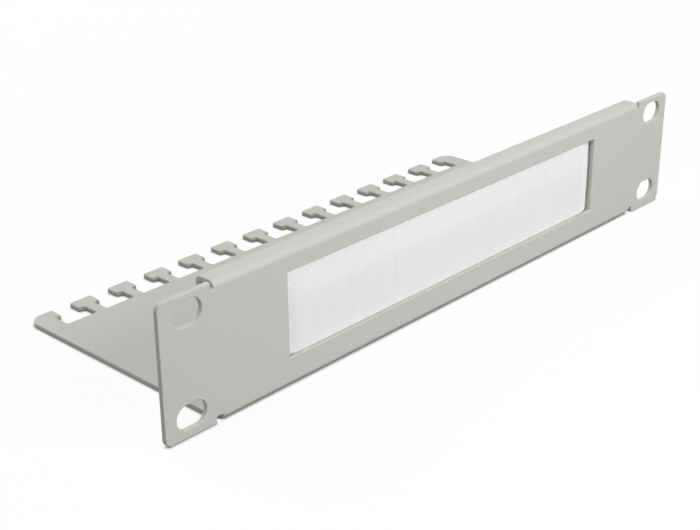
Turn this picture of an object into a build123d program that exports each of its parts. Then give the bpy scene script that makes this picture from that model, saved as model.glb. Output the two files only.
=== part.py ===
from build123d import *
import os

# A brush panel with a cable tray for a ten-inch rack. One folded sheet makes the
# faceplate, the channel above the window that grips the strip brush, and the rear tray
# with its comb of T-shaped lugs for cable ties.
# X runs along the panel, Y to the rear and Z up. The origin is the centre of the rack
# slots on the rear face of the ears, the face that meets the rack.

# Sheet and folds
sheet = 1.8
bend_inner_r = 0.5

# Faceplate, one rack unit high
panel_width = 254.0
panel_height = 44.45
ear_width = 19.0
ear_corner_r = 2.5
slot_inset = 10.0
slot_spacing_z = 31.75
slot_rise = 0.4
slot_length = 11.0
slot_width = 7.8
window_width = 157.0
window_height = 27.9
window_drop = 7.1

# Channel folded from the top edge, with a narrow slit between its end and each ear
channel_gap = 4.0
channel_end_gap = 1.0
lip_height = 9.0

# Tray folded from the bottom edge, with a round-ended notch beside each ear
tray_depth = 92.8
tray_end_gap = 0.4
tray_relief_width = 2.4
tray_relief_depth = 2.8
tray_corner_r = 5.0

# Comb of lugs along the rear of the tray, with a hook at each end
lug_count = 12
hook_width = 9.5
head_width = 8.5
head_length = 5.5
stem_width = 4.0
stem_length = 6.5
lug_corner_r = 0.6

# Holder of the strip brush, a rail of thin metal with a pinched mouth
holder_side_gap = 0.1
holder_height = 5.0
holder_metal = 0.5
holder_corner_r = 0.8
holder_lip = 0.4
brush_overlap = 4.0

# Bristles, folded over a wire inside the holder, hanging behind the window and bulging into it
wire_r = 0.6
wire_gap = 0.05
bristle_gap = 0.05
curtain_thickness = 3.4
curtain_length = 32.0
flare_length = 5.0
ridge_width = 1.5
ridge_depth = 0.25
bulge_depth = 0.75
bulge_rise = 4.0
bulge_taper = 5.0
bulge_side_gap = 0.4

# Places worked out from the sizes above
tolerance = 0.01
bend_outer_r = bend_inner_r + sheet
top_z = panel_height / 2 - slot_rise
bottom_z = top_z - panel_height
front_y = -sheet
slot_spacing_x = panel_width - 2 * slot_inset
ear_inner_x = panel_width / 2 - ear_width
channel_length = 2 * (ear_inner_x - channel_end_gap)
tray_width = 2 * (ear_inner_x - tray_end_gap)
rear_y = front_y + tray_depth
head_y = rear_y - head_length
root_y = head_y - stem_length
lug_pitch = (tray_width - 2 * hook_width + head_width) / (lug_count + 1)
window_z = top_z - window_drop - window_height / 2
brush_y = channel_gap / 2
brush_length = window_width + 2 * brush_overlap
holder_width = channel_gap - 2 * holder_side_gap
holder_top_z = top_z - sheet
holder_bottom_z = holder_top_z - holder_height
flare_z = holder_bottom_z - flare_length
holder_inner_width = holder_width - 2 * holder_metal
mouth_width = holder_inner_width - 2 * holder_lip
wire_z = holder_top_z - holder_metal - holder_inner_width / 2


def corners_at(face, points):
    """Corners of a flat outline that lie at the given points."""
    found = []
    for corner in face.vertices():
        for x, y in points:
            if abs(corner.X - x) < tolerance and abs(corner.Y - y) < tolerance:
                found.append(corner)
    return found


def channel_profile():
    """Side view of the faceplate's upper half, the top and the lip that hangs from it."""
    lip_y = channel_gap + sheet
    lip_z = top_z - lip_height
    outer = [(front_y, top_z), (lip_y, top_z)]
    inner = [(channel_gap, top_z - sheet), (0, top_z - sheet)]
    lip_end = [(lip_y, lip_z), (channel_gap, lip_z)]
    face = make_face(Polyline((front_y, 0), *outer, *lip_end, *inner, (0, 0), close=True))
    face = fillet(corners_at(face, outer), bend_outer_r)
    return fillet(corners_at(face, inner), bend_inner_r)


def tray_profile():
    """Side view of the faceplate's lower half and of the tray as far as its comb."""
    outer = (front_y, bottom_z)
    inner = (0, bottom_z + sheet)
    tray_end = [(root_y, bottom_z + sheet), (root_y, bottom_z)]
    face = make_face(Polyline((0, 0), inner, *tray_end, outer, (front_y, 0), close=True))
    face = fillet(corners_at(face, [outer]), bend_outer_r)
    return fillet(corners_at(face, [inner]), bend_inner_r)


def tray_outline():
    """Tray from above, its rear cut by T-shaped gaps that leave lugs and two hooks."""
    start_y = bend_inner_r
    plate = Pos(0, (start_y + rear_y) / 2) * Rectangle(tray_width, rear_y - start_y)
    mouth = Pos(0, rear_y) * Rectangle(lug_pitch - head_width, 2 * head_length)
    pocket = Pos(0, root_y + stem_length / 2) * Rectangle(lug_pitch - stem_width, stem_length)
    outline = plate - GridLocations(lug_pitch, 0, lug_count + 1, 1) * (mouth + pocket)
    tray_corners = [(-tray_width / 2, rear_y), (tray_width / 2, rear_y)]
    outline = fillet(corners_at(outline, tray_corners), tray_corner_r)
    lug_area_x = tray_width / 2 - tray_corner_r - tolerance
    lug_corners = [
        corner for corner in outline.vertices()
        if corner.Y > root_y - tolerance and abs(corner.X) < lug_area_x
    ]
    return fillet(lug_corners, lug_corner_r)


def ear_outline():
    """Faceplate from the front, less the strips where the folds begin. The upper strip is
    longer than the channel, which leaves a slit beside each ear."""
    plate = Pos(0, -slot_rise) * RectangleRounded(panel_width, panel_height, ear_corner_r)
    channel_strip = Pos(0, top_z) * Rectangle(2 * ear_inner_x, 2 * bend_outer_r)
    tray_strip = Pos(0, bottom_z) * Rectangle(tray_width, 2 * bend_outer_r)
    return plate - channel_strip - tray_strip


def relief_cuts():
    """Round-ended notches beside the ears, through both walls of the tray's fold."""
    notch = SlotOverall(2 * tray_relief_depth, tray_relief_width, rotation=90)
    notch_x = ear_inner_x - tray_relief_width / 2
    wall = sheet + bend_inner_r
    cuts = []
    for x in (-notch_x, notch_x):
        cuts.append(extrude(Pos(x, bend_inner_r, bottom_z) * Plane.XZ * notch, wall))
        cuts.append(extrude(Pos(x, front_y, bottom_z) * notch, wall))
    return cuts


def bracket():
    """The one folded sheet."""
    channel = extrude(Plane.YZ * channel_profile(), channel_length / 2, both=True)
    fold = extrude(Plane.YZ * tray_profile(), tray_width / 2, both=True)
    tray = extrude(Pos(0, 0, bottom_z) * tray_outline(), sheet)
    ears = extrude(Plane.XZ * ear_outline(), sheet)
    window = Pos(0, window_z) * Rectangle(window_width, window_height)
    slots = GridLocations(slot_spacing_x, slot_spacing_z, 2, 2) * SlotOverall(slot_length, slot_width)
    holes = extrude(Plane.XZ * (window + slots), sheet)
    return channel + fold + tray + ears - holes - relief_cuts()


def round_topped(width, height, corner_r):
    """A rectangle with only its two upper corners rounded."""
    section = Rectangle(width, height)
    return fillet(section.vertices().group_by(Axis.Y)[-1], corner_r)


def brush_holder():
    """Rail folded from thin metal, open at the bottom, with its mouth pinched in."""
    room_height = holder_height - 2 * holder_metal
    shell = round_topped(holder_width, holder_height, holder_corner_r)
    room = round_topped(holder_inner_width, room_height, holder_corner_r - holder_metal)
    mouth = Pos(0, -holder_height / 2) * Rectangle(mouth_width, holder_height)
    section = Pos(brush_y, holder_top_z - holder_height / 2) * (shell - room - mouth)
    return extrude(Plane.YZ * section, brush_length / 2, both=True)


def core_wire():
    """Wire that the bristles are folded over."""
    return extrude(Plane.YZ * (Pos(brush_y, wire_z) * Circle(wire_r)), brush_length / 2, both=True)


def bristle_profile():
    """Side view of the bristles: a loop over the wire, a neck, and a flared curtain."""
    loop_r = holder_inner_width / 2 - bristle_gap
    neck = mouth_width / 2 - bristle_gap
    half = curtain_thickness / 2
    shoulder_z = holder_bottom_z + holder_metal + bristle_gap
    end_z = holder_bottom_z - curtain_length
    right_side = [
        (loop_r, wire_z), (loop_r, shoulder_z), (neck, shoulder_z),
        (neck, holder_bottom_z), (half, flare_z), (half, end_z),
    ]
    left_side = [(-y, z) for y, z in reversed(right_side)]
    top = Pos(0, wire_z) * Circle(loop_r)
    outline = make_face(Polyline(*right_side, *left_side, close=True)) + top
    return Pos(brush_y, 0) * (outline - Pos(0, wire_z) * Circle(wire_r + wire_gap))


def ridge_line(length, crest_y):
    """Row of sharp ridges from left to right, with its crests at the given depth in front."""
    count = round(length / ridge_width)
    width = length / count
    points = [(-length / 2, ridge_depth - crest_y)]
    for number in range(count):
        start = number * width - length / 2
        points += [(start + width / 2, -crest_y), (start + width, ridge_depth - crest_y)]
    return points


def curtain_outline():
    """Curtain from above, ridged along its front and its rear."""
    front = ridge_line(brush_length, curtain_thickness / 2)
    rear = [(x, -y) for x, y in reversed(front)]
    return make_face(Polyline(*front, *rear, close=True))


def bulge_outline():
    """Bulge from above, ridged along its front and sloping back at both ends."""
    half = curtain_thickness / 2
    front = ridge_line(window_width - 2 * bulge_taper, half + bulge_depth)
    end_x = window_width / 2 - bulge_side_gap
    rear = [(end_x, -half), (end_x, 0), (-end_x, 0), (-end_x, -half)]
    return make_face(Polyline(*front, *rear, close=True))


def bulge_profile():
    """Side view of the bristles that bulge into the window, their tips on its lower edge."""
    back_y = brush_y - curtain_thickness / 2
    tip_z = window_z - window_height / 2 + bristle_gap
    front = [(back_y - bulge_depth, flare_z - bulge_rise), (back_y - bulge_depth, tip_z)]
    return make_face(Polyline((back_y, flare_z), *front, (brush_y, tip_z), (brush_y, flare_z), close=True))


def bristles():
    """The whole row of bristles, one ridged curtain with its bulge."""
    forms = [(bristle_profile, curtain_outline), (bulge_profile, bulge_outline)]
    curtain, bulge = [
        extrude(Plane.YZ * side_view(), brush_length / 2, both=True)
        & extrude(Pos(0, brush_y, bottom_z) * top_view(), panel_height)
        for side_view, top_view in forms
    ]
    return curtain + bulge


nodes = {
    "bracket": bracket,
    "brush_holder": brush_holder,
    "core_wire": core_wire,
    "bristles": bristles,
}

os.makedirs("parts", exist_ok=True)
for name, build in nodes.items():
    export_step(build(), f"parts/{name}.step")
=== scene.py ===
import bpy
import math
import random
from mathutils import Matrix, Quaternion, Vector


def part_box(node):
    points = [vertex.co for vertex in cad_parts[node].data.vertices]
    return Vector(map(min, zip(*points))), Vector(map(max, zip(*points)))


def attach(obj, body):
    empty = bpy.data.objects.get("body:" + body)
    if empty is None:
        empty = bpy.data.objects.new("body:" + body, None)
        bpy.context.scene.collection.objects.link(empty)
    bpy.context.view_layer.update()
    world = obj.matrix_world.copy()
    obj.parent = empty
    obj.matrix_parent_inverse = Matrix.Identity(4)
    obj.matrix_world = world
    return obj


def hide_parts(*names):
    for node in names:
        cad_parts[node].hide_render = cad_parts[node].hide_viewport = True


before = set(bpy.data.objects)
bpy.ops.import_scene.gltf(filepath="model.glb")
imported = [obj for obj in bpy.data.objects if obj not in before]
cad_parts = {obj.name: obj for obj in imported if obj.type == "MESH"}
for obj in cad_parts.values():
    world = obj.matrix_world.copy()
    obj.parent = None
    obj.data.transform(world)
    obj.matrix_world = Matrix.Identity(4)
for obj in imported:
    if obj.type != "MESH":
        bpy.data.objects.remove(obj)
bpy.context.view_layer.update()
print("frame loaded:", ", ".join(sorted(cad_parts)))

mm = 0.001  # Blender works in metres


# Shader maths: a socket that can be added, taken away and multiplied
class Link:
    def __init__(self, tree, socket):
        self.tree = tree
        self.socket = socket

    def maths(self, operation, first, second):
        return addNode(self.tree, "ShaderNodeMath", {"operation": operation}, {0: first, 1: second})

    def __add__(self, other):
        return self.maths("ADD", self, other)

    def __radd__(self, other):
        return self.maths("ADD", other, self)

    def __sub__(self, other):
        return self.maths("SUBTRACT", self, other)

    def __rsub__(self, other):
        return self.maths("SUBTRACT", other, self)

    def __mul__(self, other):
        return self.maths("MULTIPLY", self, other)

    def __rmul__(self, other):
        return self.maths("MULTIPLY", other, self)


def addNode(tree, nodeType, settings=None, sockets=None, output=0):
    node = tree.nodes.new(nodeType)
    for name, value in (settings or {}).items():
        setattr(node, name, value)
    for name, value in (sockets or {}).items():
        if isinstance(value, Link):
            tree.links.new(value.socket, node.inputs[name])
        else:
            node.inputs[name].default_value = value
    return Link(tree, node.outputs[output]) if node.outputs else None


def newFinish(name):
    finish = bpy.data.materials.new(name)
    finish.use_nodes = True
    finish.node_tree.nodes.clear()
    return finish, finish.node_tree


# A Mix node takes its colours at sockets 6 and 7 and gives their mixture at output 2
def mixColours(tree, share, first, second):
    settings = {"data_type": "RGBA"}
    return addNode(tree, "ShaderNodeMix", settings, {"Factor": share, 6: first, 7: second}, output=2)


def noise(tree, place, scale, detail=2.0):
    return addNode(tree, "ShaderNodeTexNoise", {}, {"Vector": place, "Scale": scale, "Detail": detail})


# A point's place on its piece; a share under 1 draws the pattern out along that axis
def objectPlace(tree, shares=(1, 1, 1)):
    place = addNode(tree, "ShaderNodeTexCoord", output="Object")
    return addNode(tree, "ShaderNodeMapping", {}, {"Vector": place, "Scale": shares})


def bumpFrom(tree, height, strength):  # the height is in metres
    sockets = {"Height": height, "Distance": 1.0, "Strength": strength}
    return addNode(tree, "ShaderNodeBump", {}, sockets)


def giveSurface(tree, sockets):
    surface = addNode(tree, "ShaderNodeBsdfPrincipled", {}, sockets)
    addNode(tree, "ShaderNodeOutputMaterial", {}, {"Surface": surface})


# Light grey powder coat with a fine orange peel
coat = {
    "colour": (0.520, 0.525, 0.480, 1),
    "paler": (0.545, 0.550, 0.508, 1),
    "patchScale": 45,
    "patchShare": 0.6,  # the grain has the rest of the colour's change
    "peelScale": 900,
    "peelHeight": 0.02 * mm,
    "grainScale": 4200,
    "grainHeight": 0.004 * mm,
    "bumpStrength": 0.5,
    "roughness": 0.48,
    "roughnessSpread": 0.10,
    "specular": 0.25,
}


def powderCoat():
    finish, tree = newFinish("powderCoat")
    place = objectPlace(tree)
    patches = noise(tree, place, coat["patchScale"], detail=3.0)
    peel = noise(tree, place, coat["peelScale"], detail=1.0)
    grain = noise(tree, place, coat["grainScale"])
    share = patches * coat["patchShare"] + grain * (1 - coat["patchShare"])
    unevenness = patches * 0.5 + grain * 0.5 - 0.5
    height = peel * coat["peelHeight"] + grain * coat["grainHeight"]
    giveSurface(tree, {
        "Base Color": mixColours(tree, share, coat["colour"], coat["paler"]),
        "Roughness": coat["roughness"] + coat["roughnessSpread"] * unevenness,
        "Normal": bumpFrom(tree, height, coat["bumpStrength"]),
        "Specular IOR Level": coat["specular"],
    })
    return finish


# White nylon, each filament a little lighter or darker than its neighbour
nylon = {
    "colour": (0.82, 0.82, 0.823, 1),
    "paler": (0.88, 0.88, 0.883, 1),
    "patternShares": (1, 1, 0.012),  # long and thin along Z, as the filaments are
    "threadScale": 2600,
    "tuftScale": 420,
    "roughness": 0.45,
    "roughnessSpread": 0.2,
    "specular": 0.35,
}


def nylonBristle():
    finish, tree = newFinish("nylonBristle")
    place = objectPlace(tree, nylon["patternShares"])
    threads = noise(tree, place, nylon["threadScale"], detail=1.0)
    tufts = noise(tree, place, nylon["tuftScale"], detail=1.0)
    share = threads * 0.5 + tufts * 0.5
    giveSurface(tree, {
        "Base Color": mixColours(tree, share, nylon["colour"], nylon["paler"]),
        "Roughness": nylon["roughness"] + nylon["roughnessSpread"] * (threads - 0.5),
        "Specular IOR Level": nylon["specular"],
    })
    return finish


# Bare metal with fine lines along its length, for the brush's rail and its wire
rail = {
    "name": "railAluminium",
    "colour": (0.74, 0.75, 0.76, 1),
    "darker": (0.60, 0.61, 0.62, 1),
    "lineScale": 5200,
    "lineHeight": 0.003 * mm,
    "roughness": 0.38,
}
wire = {
    "name": "wireSteel",
    "colour": (0.58, 0.57, 0.55, 1),
    "darker": (0.40, 0.39, 0.38, 1),
    "lineScale": 7000,
    "lineHeight": 0.002 * mm,
    "roughness": 0.30,
}
drawnLines = {
    "patternShares": (0.02, 1, 1),  # the lines run along X
    "lineShare": 0.6,  # the clouds have the rest of the colour's change
    "cloudScale": 60,
    "bumpStrength": 0.5,
    "roughnessSpread": 0.2,
}


def drawnMetal(metal):
    finish, tree = newFinish(metal["name"])
    lines = noise(tree, objectPlace(tree, drawnLines["patternShares"]), metal["lineScale"])
    clouds = noise(tree, objectPlace(tree), drawnLines["cloudScale"])
    share = lines * drawnLines["lineShare"] + clouds * (1 - drawnLines["lineShare"])
    giveSurface(tree, {
        "Base Color": mixColours(tree, share, metal["darker"], metal["colour"]),
        "Roughness": metal["roughness"] + drawnLines["roughnessSpread"] * (clouds - 0.5),
        "Metallic": 1.0,
        "Normal": bumpFrom(tree, lines * metal["lineHeight"], drawnLines["bumpStrength"]),
    })
    return finish


def dress(obj, finish):
    obj.data.materials.clear()
    obj.data.materials.append(finish)


def deselectAll():
    if bpy.context.object and bpy.context.object.mode != "OBJECT":
        bpy.ops.object.mode_set(mode="OBJECT")
    bpy.ops.object.select_all(action="DESELECT")


def pick(obj):
    deselectAll()
    obj.select_set(True)
    bpy.context.view_layer.objects.active = obj


# A CAD node is loose triangles: a copy gets its corners merged and its flat faces joined
merging = {
    "within": 0.001 * mm,
    "flatWithin": math.radians(0.5),
}


def mergedCopy(nodeName, pieceName):
    piece = bpy.data.objects.new(pieceName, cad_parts[nodeName].data.copy())
    bpy.context.scene.collection.objects.link(piece)
    pick(piece)
    bpy.ops.object.mode_set(mode="EDIT")
    bpy.ops.mesh.select_all(action="SELECT")
    bpy.ops.mesh.remove_doubles(threshold=merging["within"])
    bpy.ops.mesh.dissolve_limited(angle_limit=merging["flatWithin"])
    bpy.ops.object.mode_set(mode="OBJECT")
    return piece


# The folded sheet: the CAD solid with every cut edge rounded by its coat
sheetEdges = {
    "radius": 0.42 * mm,
    "segments": 3,
    "sharperThan": math.radians(40),
    "shadingCuts": (-104 * mm, -60 * mm, 0, 60 * mm, 104 * mm),  # keep each end's shading at that end
    "flatFaceWeight": 100,
}


def foldedSheet():
    piece = mergedCopy("bracket", "foldedSheet")
    bpy.ops.object.mode_set(mode="EDIT")
    for x in sheetEdges["shadingCuts"]:
        bpy.ops.mesh.select_all(action="SELECT")
        bpy.ops.mesh.bisect(plane_co=(x, 0, 0), plane_no=(1, 0, 0))
    bpy.ops.object.mode_set(mode="OBJECT")
    rounding = piece.modifiers.new("coatedEdges", "BEVEL")
    rounding.width = sheetEdges["radius"]
    rounding.segments = sheetEdges["segments"]
    rounding.limit_method = "ANGLE"
    rounding.angle_limit = sheetEdges["sharperThan"]
    rounding.use_clamp_overlap = False
    rounding.miter_outer = "MITER_ARC"
    bpy.ops.object.modifier_apply(modifier=rounding.name)
    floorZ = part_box("bracket")[0].z
    for point in piece.data.vertices:  # the rounding may not reach below what the sheet stands on
        point.co.z = max(point.co.z, floorZ)
    bpy.ops.object.shade_smooth_by_angle(angle=sheetEdges["sharperThan"])
    weighting = piece.modifiers.new("flatFaces", "WEIGHTED_NORMAL")
    weighting.keep_sharp = True
    weighting.weight = sheetEdges["flatFaceWeight"]
    bpy.ops.object.modifier_apply(modifier=weighting.name)
    dress(piece, powderCoat())
    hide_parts("bracket")
    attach(piece, "root")
    print("folded sheet:", len(piece.data.polygons), "faces")


# The strip brush: a core inside, and single filaments all round it
brush = {
    "seed": 11,
    "filamentRadius": 0.18 * mm,
    "pitch": 0.26 * mm,
    "rowGap": 0.19 * mm,
    "bulgeRows": 1,
    "curtainRows": 1,
    "rearRows": 2,
    "endRows": 2,
    "stubRows": 3,
    "bulgeSides": 5,
    "curtainSides": 4,
    "stubSides": 3,
    "stubLength": 3.2 * mm,  # stubs close the underside between the front and the rear
    "coreInset": 0.30 * mm,
    "coreShorter": 2.2 * mm,
    "mouthDepth": 0.3 * mm,  # how far the filaments reach up into the rail
    "flareDepth": 0.75 * mm,
    "spreadLength": 12.0 * mm,  # the flare and the bulge are whole this far below the rail
    "spreadCuts": 7,
    "bulgeTaper": 5.0 * mm,
    "windowHalf": 78.45 * mm,
    "windowBottom": -13.12 * mm,
    "lean": 0.006 * mm,
    "tuftLean": 0.06 * mm,
    "tuftWidth": 3.1 * mm,
    "fineTufts": 2.7,  # narrow tufts for each wide one
    "endsUneven": 0.55 * mm,
    "tipHeight": 0.1 * mm,  # points this close to the lower end move as the tips do
    "boxInset": 0.01 * mm,  # the least clearance to the CAD box
}


# Filaments side by side; a form says where they start and end, their cuts and their sides
def filamentRow(name, form, start, step, count):
    deselectAll()
    bpy.ops.mesh.primitive_cylinder_add(
        vertices=form["sides"], radius=brush["filamentRadius"], depth=form["top"] - form["bottom"],
        end_fill_type="NGON", location=(start[0], start[1], (form["top"] + form["bottom"]) / 2))
    row = bpy.context.object
    row.name = name
    bpy.ops.object.transform_apply(location=True, rotation=True, scale=True)
    bpy.ops.object.mode_set(mode="EDIT")
    for height in form["cuts"]:
        bpy.ops.mesh.select_all(action="SELECT")
        bpy.ops.mesh.bisect(plane_co=(0, 0, height), plane_no=(0, 0, 1))
    bpy.ops.object.mode_set(mode="OBJECT")
    repeat = row.modifiers.new("row", "ARRAY")
    repeat.use_relative_offset = False
    repeat.use_constant_offset = True
    repeat.constant_offset_displace = step
    repeat.count = count
    bpy.ops.object.modifier_apply(modifier=repeat.name)
    return row


# A share that leaves 0 and reaches 1 without a kink
def eased(share):
    share = min(1, max(0, share))
    return share * share * (3 - 2 * share)


# Each filament flares out of the rail, leans a little and ends where it likes
def shapeFilaments(row, count, room, chance, bulgeDepth):
    low, high, middleY, top = room["low"], room["high"], room["middleY"], room["top"]
    perFilament = len(row.data.vertices) // count
    bottom = min(point.co.z for point in row.data.vertices)
    for number in range(count):
        points = row.data.vertices[number * perFilament:(number + 1) * perFilament]
        centre = sum((point.co for point in points), Vector()) / perFilament
        wave = centre.x / brush["tuftWidth"]
        tuft = math.sin(wave) + math.sin(brush["fineTufts"] * wave + centre.y / mm)
        leanX = chance.gauss(0, brush["lean"]) + brush["tuftLean"] * tuft / 2
        leanY = chance.gauss(0, brush["lean"] / 2)
        shorter = abs(chance.gauss(0, brush["endsUneven"] / 2))
        side = 1 if centre.y > middleY else -1
        taper = eased((brush["windowHalf"] - abs(centre.x)) / brush["bulgeTaper"])
        for point in points:
            down = (top - point.co.z) / (top - low.z)
            spread = eased((top - point.co.z) / brush["spreadLength"])
            point.co.y -= side * brush["flareDepth"] * (1 - spread)
            point.co.y += leanY * down - bulgeDepth * taper * spread
            point.co.x += leanX * down
            if point.co.z < bottom + brush["tipHeight"] and not bulgeDepth:
                point.co.z += shorter
            point.co.x = min(high.x - brush["boxInset"], max(low.x + brush["boxInset"], point.co.x))
            point.co.y = min(high.y - brush["boxInset"], max(low.y + brush["boxInset"], point.co.y))


# The CAD solid, drawn in behind the filaments; its fold in the rail stays as it is
def brushCore(room):
    core = mergedCopy("bristles", "brushCore")
    inset = brush["coreInset"]
    for point in core.data.vertices:
        if point.co.z < room["neckZ"] - brush["boxInset"]:
            point.co.y -= math.copysign(inset, point.co.y - room["middleY"])
        if point.co.z < room["low"].z + brush["tipHeight"]:
            point.co.z += brush["coreShorter"]
        point.co.x *= 1 - inset / room["high"].x
    return core


def stripBrush():
    chance = random.Random(brush["seed"])
    low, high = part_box("bristles")
    holderLow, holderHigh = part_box("brush_holder")
    middleY = (holderLow.y + holderHigh.y) / 2
    half = high.y - middleY
    frontY = middleY - half
    top = holderLow.z + brush["mouthDepth"]
    room = {"low": low, "high": high, "middleY": middleY, "neckZ": holderLow.z, "top": top}
    radius, pitch, rowGap = brush["filamentRadius"], brush["pitch"], brush["rowGap"]
    cutStep = brush["spreadLength"] / brush["spreadCuts"]
    fineCuts = [top - (number + 1) * cutStep for number in range(brush["spreadCuts"])]
    bulge = {"top": top, "bottom": brush["windowBottom"], "cuts": fineCuts, "sides": brush["bulgeSides"]}
    curtain = {"top": top, "bottom": low.z, "cuts": fineCuts[1::2], "sides": brush["curtainSides"]}
    stub = {"top": low.z + brush["stubLength"], "bottom": low.z, "cuts": (), "sides": brush["stubSides"]}
    rows = []

    def addRow(form, start, step, count, bulgeDepth=0):
        row = filamentRow(f"row{len(rows)}", form, start, step, count)
        shapeFilaments(row, count, room, chance, bulgeDepth)
        rows.append(row)

    def addLongRow(form, halfX, y, bulgeDepth=0):
        count = int(2 * (halfX - radius) / pitch) - 1
        shift = pitch / 4 if len(rows) % 2 else -pitch / 4  # rows stand between each other
        addRow(form, (shift - (count - 1) * pitch / 2, y), (pitch, 0, 0), count, bulgeDepth)

    for number in range(brush["bulgeRows"]):
        y = frontY + radius + number * rowGap
        addLongRow(bulge, brush["windowHalf"], y, frontY - low.y)
    for number in range(brush["curtainRows"]):
        addLongRow(curtain, high.x, frontY + radius + (brush["bulgeRows"] + number) * rowGap)
    for number in range(brush["rearRows"]):
        addLongRow(curtain, high.x, high.y - radius - number * rowGap)
    for number in range(brush["stubRows"]):
        addLongRow(stub, high.x, middleY + half * (2 * (number + 1) / (brush["stubRows"] + 1) - 1))
    endCount = int(2 * (half - radius) / pitch)
    for side in (-1, 1):
        for number in range(brush["endRows"]):
            x = side * (high.x - radius - number * rowGap)
            addRow(curtain, (x, middleY - (endCount - 1) * pitch / 2), (0, pitch, 0), endCount)
    piece = brushCore(room)
    deselectAll()
    for row in rows:
        row.select_set(True)
    piece.select_set(True)
    bpy.context.view_layer.objects.active = piece
    bpy.ops.object.join()
    piece.name = "stripBrush"
    bpy.ops.object.shade_flat()
    dress(piece, nylonBristle())
    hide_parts("bristles")
    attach(piece, "root")
    print("strip brush:", len(rows), "rows,", len(piece.data.polygons), "faces")


foldedSheet()
stripBrush()
dress(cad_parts["brush_holder"], drawnMetal(rail))
dress(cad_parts["core_wire"], drawnMetal(wire))
print("pieces made")


# Pale floor under the tray, white to the camera but for the object's shadow and a painted contact shade
# close to the sheet
studio = {
    "floorHalf": 4.0,
    "floorColour": (0.95, 0.95, 0.95, 1),
    "floorTint": (0.96, 0.96, 0.96, 1),
    "cloudScale": 6,
    "bounceColour": (0.07, 0.07, 0.07, 1),
    "whiteNear": 0.90,  # how white the floor is beside the object, 1 at a distance
    "whiteFrom": 0.20,
    "whiteOver": 0.50,
    "paintedShadeReach": 1.2 * mm,  # the floor gets its painted contact shade this close to the sheet
    "paintedShadeColour": (0.25, 0.25, 0.25, 1),
    "paintedShadeSamples": 16,
    "skyLight": 0.27,
}


# 1 for rays from the camera and from gloss or glass, 0 for all others
def seenRays(tree):
    camera = addNode(tree, "ShaderNodeLightPath", output="Is Camera Ray")
    gloss = addNode(tree, "ShaderNodeLightPath", output="Is Glossy Ray")
    glass = addNode(tree, "ShaderNodeLightPath", output="Is Transmission Ray")
    return camera + gloss + glass


def paleFloor():
    finish, tree = newFinish("paleFloor")
    place = addNode(tree, "ShaderNodeTexCoord", output="Object")
    away = addNode(tree, "ShaderNodeVectorMath", {"operation": "LENGTH"}, {0: place}, output="Value")
    spread = addNode(tree, "ShaderNodeMapRange", {}, {
        "Value": away,
        "From Min": studio["whiteFrom"],
        "From Max": studio["whiteFrom"] + studio["whiteOver"],
        "To Min": studio["whiteNear"],
        "To Max": 1.0,
    })
    reach = {"Distance": studio["paintedShadeReach"]}
    samples = {"samples": studio["paintedShadeSamples"]}
    # Painted shade: an Ambient Occlusion mask darkens the floor's colour towards a dark grey close to
    # the sheet
    paintedShadeMask = addNode(tree, "ShaderNodeAmbientOcclusion", samples, reach, output="AO")
    cloudy = noise(tree, objectPlace(tree), studio["cloudScale"])
    colour = mixColours(tree, cloudy, studio["floorColour"], studio["floorTint"])
    colour = mixColours(tree, paintedShadeMask, studio["paintedShadeColour"], colour)
    matte = addNode(tree, "ShaderNodeBsdfDiffuse", {}, {"Color": colour})
    white = addNode(tree, "ShaderNodeEmission", {}, {"Color": (1, 1, 1, 1), "Strength": 1.0})
    # the painted contact shade also fades the floor's white close to the sheet
    whiteness = spread * paintedShadeMask * paintedShadeMask
    shown = addNode(tree, "ShaderNodeMixShader", {}, {"Fac": whiteness, 1: matte, 2: white})
    bounce = addNode(tree, "ShaderNodeBsdfDiffuse", {}, {"Color": studio["bounceColour"]})
    surface = addNode(tree, "ShaderNodeMixShader", {}, {"Fac": seenRays(tree), 1: bounce, 2: shown})
    addNode(tree, "ShaderNodeOutputMaterial", {}, {"Surface": surface})
    return finish


def layFloor():
    deselectAll()
    bpy.ops.mesh.primitive_plane_add(size=2 * studio["floorHalf"], location=(0, 0, 0))
    floor = bpy.context.object
    floor.name = "floor"
    floor.location.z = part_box("bracket")[0].z
    bpy.ops.object.transform_apply(location=True, rotation=False, scale=False)
    dress(floor, paleFloor())


def fillWorld():
    world = bpy.data.worlds.new("studioAir")
    bpy.context.scene.world = world
    world.use_nodes = True
    tree = world.node_tree
    tree.nodes.clear()
    strength = studio["skyLight"] + seenRays(tree) * (1 - studio["skyLight"])
    air = addNode(tree, "ShaderNodeBackground", {}, {"Color": (1, 1, 1, 1), "Strength": strength})
    addNode(tree, "ShaderNodeOutputWorld", {}, {"Surface": air})


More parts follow.
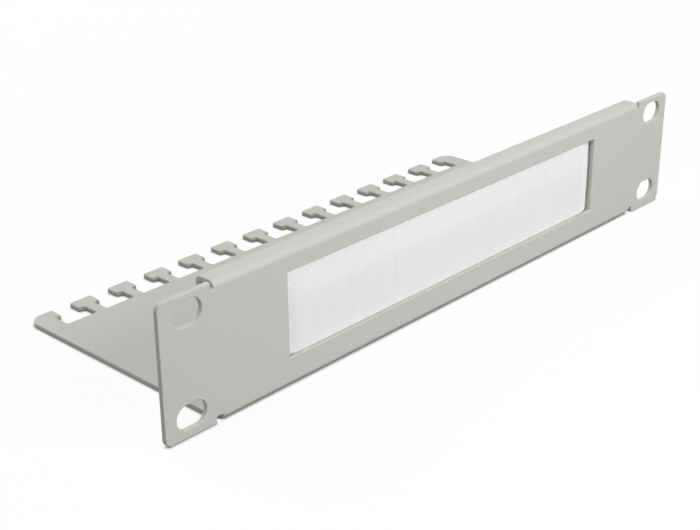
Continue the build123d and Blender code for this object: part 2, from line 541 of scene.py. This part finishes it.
# Soft lamps: where each stands, its size in metres and its power in watts
lamps = {
    "overhead": {"place": (0.1, 0.3, 1.3), "size": 1.4, "power": 6.0},
    "front": {"place": (0.25, -1.15, 0.45), "size": 1.0, "power": 7.4},
    "frontLeft": {"place": (-1.1, -0.6, 0.4), "size": 1.0, "power": 3.2},
    "frontNear": {"place": (0.02, -0.34, 0.17), "size": 0.25, "power": 0.66},
    "rear": {"place": (-0.2, 1.3, 0.6), "size": 1.0, "power": 11.4},
}


def hangLamps():
    for name, lamp in lamps.items():
        light = bpy.data.lights.new(name, "AREA")
        light.shape = "SQUARE"
        light.size = lamp["size"]
        light.energy = lamp["power"]
        holder = bpy.data.objects.new(name, light)
        holder.location = lamp["place"]
        holder.rotation_euler = (-Vector(lamp["place"])).to_track_quat("-Z", "Y").to_euler()
        holder.visible_camera = False  # from another side a lamp could stand in the picture
        bpy.context.scene.collection.objects.link(holder)


# Camera at the photograph's angle, its angles in degrees
shot = {
    "place": (-329.06 * mm, -260.49 * mm, 179.90 * mm),
    "azimuth": 46.922,
    "elevation": 24.355,
    "roll": -0.350,
    "lens": 70.643,
    "sensorWidth": 36,
    "clipStart": 10 * mm,
}


def setCamera():
    camera = bpy.data.cameras.new("camera")
    camera.sensor_width = shot["sensorWidth"]
    camera.lens = shot["lens"]
    camera.clip_start = shot["clipStart"]
    holder = bpy.data.objects.new("camera", camera)
    holder.location = shot["place"]
    turn, dip = math.radians(shot["azimuth"]), math.radians(shot["elevation"])
    ahead = Vector((math.sin(turn) * math.cos(dip), math.cos(turn) * math.cos(dip), -math.sin(dip)))
    holder.rotation_mode = "QUATERNION"
    holder.rotation_quaternion = ahead.to_track_quat("-Z", "Y")
    holder.rotation_quaternion.rotate(Quaternion(ahead, -math.radians(shot["roll"])))
    bpy.context.scene.collection.objects.link(holder)
    bpy.context.scene.camera = holder


layFloor()
fillWorld()
hangLamps()
setCamera()
bpy.context.scene.view_settings.view_transform = "Standard"
print("studio set")
